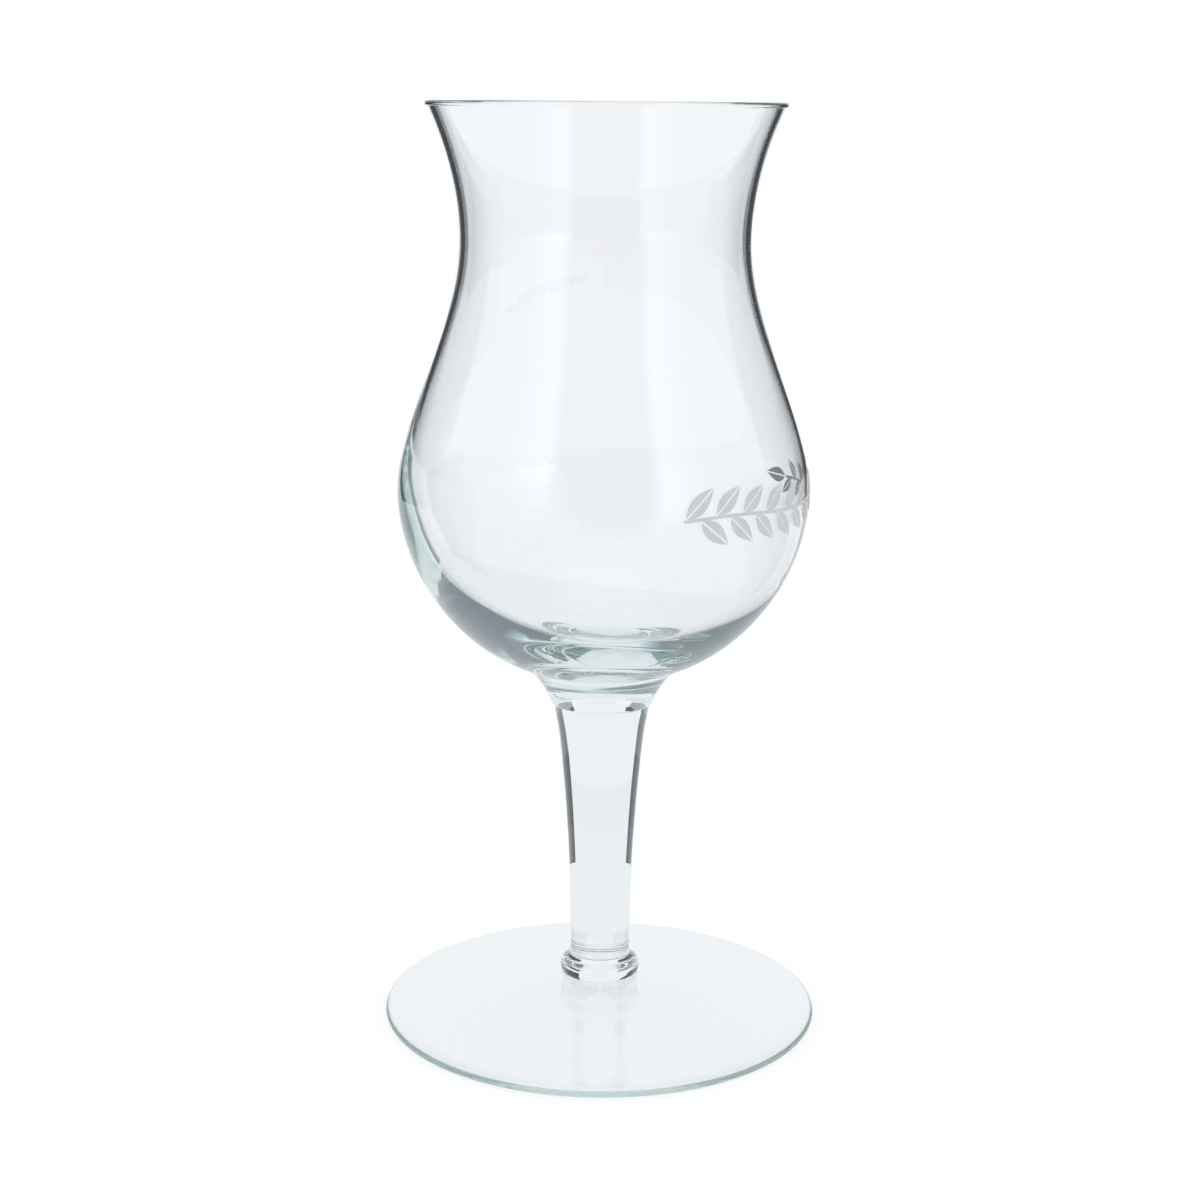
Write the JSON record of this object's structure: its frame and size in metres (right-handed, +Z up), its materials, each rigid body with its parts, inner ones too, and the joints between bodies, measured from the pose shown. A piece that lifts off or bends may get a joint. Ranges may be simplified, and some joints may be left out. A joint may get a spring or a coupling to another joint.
{
  "type": "stemmed spirits glass",
  "caption": "Clear stemmed tulip glass for spirits: flared rim, round belly with a thick base, solid tapered stem, collar and wide thin foot.",
  "frame": {"origin": "on the table, under the middle of the foot", "axes": "+Z up along the stem, towards the rim; X and Y are alike, because every piece is turned about Z"},
  "size_m": [0.0602, 0.0602, 0.125],
  "materials": {
    "bowl_glass": "clear, fire-polished",
    "stem_glass": "clear, fire-polished",
    "foot_glass": "clear, faint green at the edge"
  },
  "bodies": {
    "root": {"bowl": "bowl_glass", "stem": "stem_glass", "foot_collar": "stem_glass", "foot": "foot_glass"}
  },
  "joints": []
}
